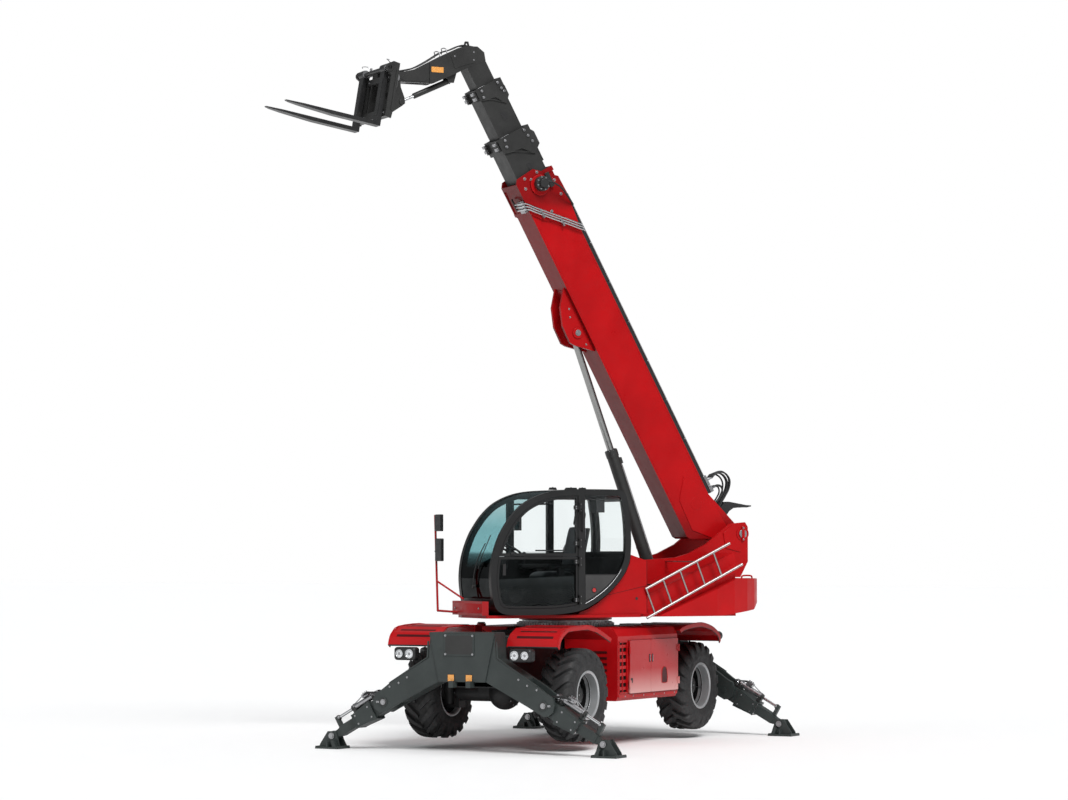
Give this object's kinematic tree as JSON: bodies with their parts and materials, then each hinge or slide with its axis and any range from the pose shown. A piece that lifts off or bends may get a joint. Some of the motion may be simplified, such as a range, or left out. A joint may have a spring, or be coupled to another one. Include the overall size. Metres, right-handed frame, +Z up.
{
  "type": "rotating telehandler",
  "caption": "Rotating telescopic handler on four folding outriggers, with slewing cab and boom turret, steered wheels and a tilting fork carriage.",
  "frame": {"origin": "on the ground under the middle of the whole machine's box", "axes": "+X chassis heading, +Y its left side, +Z up; the turret is turned 35 degrees to its right and the boom raised 61 degrees"},
  "size_m": [6.2366, 4.7929, 9.02],
  "materials": {
    "paint_red": "gloss",
    "paint_charcoal": "satin",
    "paint_outrigger": "satin",
    "paint_chassis": "satin",
    "rim_silver": "satin",
    "tyre": "matt",
    "chrome": "polished",
    "glass": "clear",
    "black_plastic": "matt",
    "steel": "machined",
    "cast": "rough",
    "seat_fabric": "woven"
  },
  "bodies": {
    "chassis": {"chassis_frame": "paint_chassis", "slew_ring": "steel", "outrigger_housings": "paint_outrigger", "fenders": "paint_red", "lamp_housings": "black_plastic", "engine_housing": "paint_red", "engine_block": "cast", "tank_box": "paint_red", "axles": "paint_chassis"},
    "engine_door_rear": {"engine_door_rear": "paint_red"},
    "engine_door_front": {"engine_door_front": "paint_red"},
    "turret": {"turret_frame": "paint_red", "counterweight": "paint_red", "turret_hoods": "paint_red", "ladder": "steel", "front_bumper_and_mirrors": "paint_red", "cab_shell": "paint_charcoal", "cab_glass": "glass", "seat": "seat_fabric", "console": "black_plastic"},
    "door_upper": {"door_upper": "paint_charcoal", "door_upper_glass": "glass"},
    "door_lower": {"door_lower": "paint_charcoal", "door_lower_glass": "glass"},
    "boom_base": {"boom_base": "paint_red", "hose_tray": "black_plastic"},
    "boom_stage_2": {"boom_stage_2": "paint_charcoal"},
    "boom_stage_3": {"boom_stage_3": "paint_charcoal"},
    "boom_stage_4": {"boom_stage_4": "paint_charcoal"},
    "lift_rod": {"lift_rod": "chrome"},
    "lift_barrel": {"lift_barrel": "paint_charcoal"},
    "tilt_barrel": {"tilt_barrel": "paint_charcoal"},
    "tilt_rod": {"tilt_rod": "chrome"},
    "fork_carriage": {"fork_carriage": "paint_charcoal"},
    "fork_left": {"fork_left": "paint_charcoal"},
    "fork_right": {"fork_right": "paint_charcoal"},
    "knuckle_front_left": {"knuckle_front_left": "paint_chassis"},
    "wheel_front_left": {"rim_front_left": "rim_silver", "tyre_front_left": "tyre"},
    "leg_front_left": {"outrigger_leg_front_left": "paint_outrigger"},
    "extension_front_left": {"outrigger_extension_front_left": "paint_outrigger"},
    "foot_front_left": {"outrigger_foot_front_left": "paint_outrigger"},
    "knuckle_front_right": {"knuckle_front_right": "paint_chassis"},
    "wheel_front_right": {"rim_front_right": "rim_silver", "tyre_front_right": "tyre"},
    "leg_front_right": {"outrigger_leg_front_right": "paint_outrigger"},
    "extension_front_right": {"outrigger_extension_front_right": "paint_outrigger"},
    "foot_front_right": {"outrigger_foot_front_right": "paint_outrigger"},
    "knuckle_rear_left": {"knuckle_rear_left": "paint_chassis"},
    "wheel_rear_left": {"rim_rear_left": "rim_silver", "tyre_rear_left": "tyre"},
    "leg_rear_left": {"outrigger_leg_rear_left": "paint_outrigger"},
    "extension_rear_left": {"outrigger_extension_rear_left": "paint_outrigger"},
    "foot_rear_left": {"outrigger_foot_rear_left": "paint_outrigger"},
    "knuckle_rear_right": {"knuckle_rear_right": "paint_chassis"},
    "wheel_rear_right": {"rim_rear_right": "rim_silver", "tyre_rear_right": "tyre"},
    "leg_rear_right": {"outrigger_leg_rear_right": "paint_outrigger"},
    "extension_rear_right": {"outrigger_extension_rear_right": "paint_outrigger"},
    "foot_rear_right": {"outrigger_foot_rear_right": "paint_outrigger"}
  },
  "joints": [
    {"name": "steer_front_left", "type": "hinge", "parent": "chassis", "child": "knuckle_front_left", "pos_m": [1.2927, 1.0914, 0.688], "axis": [0, 0, 1], "range_deg": [-32, 32]},
    {"name": "roll_front_left", "type": "hinge", "parent": "knuckle_front_left", "child": "wheel_front_left", "pos_m": [1.2927, 1.2514, 0.688], "axis": [0, 1, 0], "continuous": true},
    {"name": "leg_fold_front_left", "type": "hinge", "parent": "chassis", "child": "leg_front_left", "pos_m": [2.2507, 1.4114, 0.6], "axis": [1, 0, 0], "range_deg": [0, 97]},
    {"name": "leg_retract_front_left", "type": "slide", "parent": "leg_front_left", "child": "extension_front_left", "axis": [0, -0.871, 0.4913], "range_m": [0, 0.2]},
    {"name": "foot_swivel_front_left", "type": "hinge", "parent": "extension_front_left", "child": "foot_front_left", "pos_m": [2.2507, 2.1914, 0.16], "axis": [1, 0, 0], "range_deg": [-30, 30]},
    {"name": "steer_front_right", "type": "hinge", "parent": "chassis", "child": "knuckle_front_right", "pos_m": [1.2927, -0.5086, 0.688], "axis": [0, 0, 1], "range_deg": [-32, 32]},
    {"name": "roll_front_right", "type": "hinge", "parent": "knuckle_front_right", "child": "wheel_front_right", "pos_m": [1.2927, -0.6686, 0.688], "axis": [0, 1, 0], "continuous": true},
    {"name": "leg_fold_front_right", "type": "hinge", "parent": "chassis", "child": "leg_front_right", "pos_m": [2.2507, -0.8286, 0.6], "axis": [-1, 0, 0], "range_deg": [0, 97]},
    {"name": "leg_retract_front_right", "type": "slide", "parent": "leg_front_right", "child": "extension_front_right", "axis": [0, 0.871, 0.4913], "range_m": [0, 0.2]},
    {"name": "foot_swivel_front_right", "type": "hinge", "parent": "extension_front_right", "child": "foot_front_right", "pos_m": [2.2507, -1.6086, 0.16], "axis": [-1, 0, 0], "range_deg": [-30, 30]},
    {"name": "steer_rear_left", "type": "hinge", "parent": "chassis", "child": "knuckle_rear_left", "pos_m": [-1.9553, 1.0914, 0.688], "axis": [0, 0, 1], "range_deg": [-32, 32]},
    {"name": "roll_rear_left", "type": "hinge", "parent": "knuckle_rear_left", "child": "wheel_rear_left", "pos_m": [-1.9553, 1.2514, 0.688], "axis": [0, 1, 0], "continuous": true},
    {"name": "leg_fold_rear_left", "type": "hinge", "parent": "chassis", "child": "leg_rear_left", "pos_m": [-2.9133, 1.4114, 0.6], "axis": [1, 0, 0], "range_deg": [0, 97]},
    {"name": "leg_retract_rear_left", "type": "slide", "parent": "leg_rear_left", "child": "extension_rear_left", "axis": [0, -0.871, 0.4913], "range_m": [0, 0.2]},
    {"name": "foot_swivel_rear_left", "type": "hinge", "parent": "extension_rear_left", "child": "foot_rear_left", "pos_m": [-2.9133, 2.1914, 0.16], "axis": [1, 0, 0], "range_deg": [-30, 30]},
    {"name": "steer_rear_right", "type": "hinge", "parent": "chassis", "child": "knuckle_rear_right", "pos_m": [-1.9553, -0.5086, 0.688], "axis": [0, 0, 1], "range_deg": [-32, 32]},
    {"name": "roll_rear_right", "type": "hinge", "parent": "knuckle_rear_right", "child": "wheel_rear_right", "pos_m": [-1.9553, -0.6686, 0.688], "axis": [0, 1, 0], "continuous": true},
    {"name": "leg_fold_rear_right", "type": "hinge", "parent": "chassis", "child": "leg_rear_right", "pos_m": [-2.9133, -0.8286, 0.6], "axis": [-1, 0, 0], "range_deg": [0, 97]},
    {"name": "leg_retract_rear_right", "type": "slide", "parent": "leg_rear_right", "child": "extension_rear_right", "axis": [0, 0.871, 0.4913], "range_m": [0, 0.2]},
    {"name": "foot_swivel_rear_right", "type": "hinge", "parent": "extension_rear_right", "child": "foot_rear_right", "pos_m": [-2.9133, -1.6086, 0.16], "axis": [-1, 0, 0], "range_deg": [-30, 30]},
    {"name": "engine_door_rear_hinge", "type": "hinge", "parent": "chassis", "child": "engine_door_rear", "pos_m": [-1.2153, 1.4914, 1], "axis": [0, 0, 1], "range_deg": [0, 110]},
    {"name": "engine_door_front_hinge", "type": "hinge", "parent": "chassis", "child": "engine_door_front", "pos_m": [0.2027, 1.4914, 1], "axis": [0, 0, -1], "range_deg": [0, 110]},
    {"name": "slew", "type": "hinge", "parent": "chassis", "child": "turret", "pos_m": [-0.3313, 0.2914, 1.5], "axis": [0, 0, 1], "continuous": true},
    {"name": "cab_door_upper_hinge", "type": "hinge", "parent": "turret", "child": "door_upper", "pos_m": [0.71693, 1.04921, 2.8], "axis": [0, 0, 1], "range_deg": [0, 160]},
    {"name": "cab_door_lower_hinge", "type": "hinge", "parent": "turret", "child": "door_lower", "pos_m": [0.71693, 1.04921, 2.1], "axis": [0, 0, 1], "range_deg": [0, 105]},
    {"name": "boom_lift", "type": "hinge", "parent": "turret", "child": "boom_base", "pos_m": [-2.39558, 1.61475, 2.69], "axis": [-0.5736, -0.8192, 0], "range_deg": [-61, 19]},
    {"name": "telescope", "type": "slide", "parent": "boom_base", "child": "boom_stage_2", "axis": [0.3971, -0.2781, 0.8746], "range_m": [0, 4.1]},
    {"name": "telescope_stage_3", "type": "slide", "parent": "boom_stage_2", "child": "boom_stage_3", "axis": [0.3971, -0.2781, 0.8746], "range_m": [0, 4.1]},
    {"name": "telescope_stage_4", "type": "slide", "parent": "boom_stage_3", "child": "boom_stage_4", "axis": [0.3971, -0.2781, 0.8746], "range_m": [0, 4.1]},
    {"name": "lift_rod_pivot", "type": "hinge", "parent": "boom_base", "child": "lift_rod", "pos_m": [-0.51913, 0.30084, 5.2962], "axis": [-0.5736, -0.8192, 0], "range_deg": [-8.5, 3]},
    {"name": "lift_stroke", "type": "slide", "parent": "lift_rod", "child": "lift_barrel", "axis": [-0.2848, 0.1994, -0.9376], "range_m": [-1.24, 0.39]},
    {"name": "carriage_tilt", "type": "hinge", "parent": "boom_stage_4", "child": "fork_carriage", "pos_m": [1.61007, -1.19004, 8.47], "axis": [0.5736, 0.8192, 0], "range_deg": [-62, 50]},
    {"name": "tilt_barrel_pivot", "type": "hinge", "parent": "boom_stage_4", "child": "tilt_barrel", "pos_m": [0.93837, -0.71971, 8.5], "axis": [0.5736, 0.8192, 0], "range_deg": [-6.3, 5.1]},
    {"name": "tilt_stroke", "type": "slide", "parent": "tilt_barrel", "child": "tilt_rod", "axis": [0.7444, -0.5212, -0.4174], "range_m": [-0.211, 0.2612]},
    {"name": "fork_left_shift", "type": "slide", "parent": "fork_carriage", "child": "fork_left", "axis": [0.5736, 0.8192, 0], "range_m": [-0.12, 0.045]},
    {"name": "fork_right_shift", "type": "slide", "parent": "fork_carriage", "child": "fork_right", "axis": [-0.5736, -0.8192, 0], "range_m": [-0.12, 0.045]}
  ],
  "couplings": [
    {"joint": "steer_front_right", "follows": "steer_front_left", "ratio": 1},
    {"joint": "steer_rear_right", "follows": "steer_rear_left", "ratio": 1},
    {"joint": "telescope_stage_3", "follows": "telescope", "ratio": 1},
    {"joint": "telescope_stage_4", "follows": "telescope", "ratio": 1},
    {"joint": "lift_rod_pivot", "follows": "boom_lift", "ratio": 0.13},
    {"joint": "lift_stroke", "follows": "boom_lift", "m_per_rad": 1.157},
    {"joint": "tilt_barrel_pivot", "follows": "carriage_tilt", "ratio": 0.1},
    {"joint": "tilt_stroke", "follows": "carriage_tilt", "m_per_rad": -0.24}
  ]
}
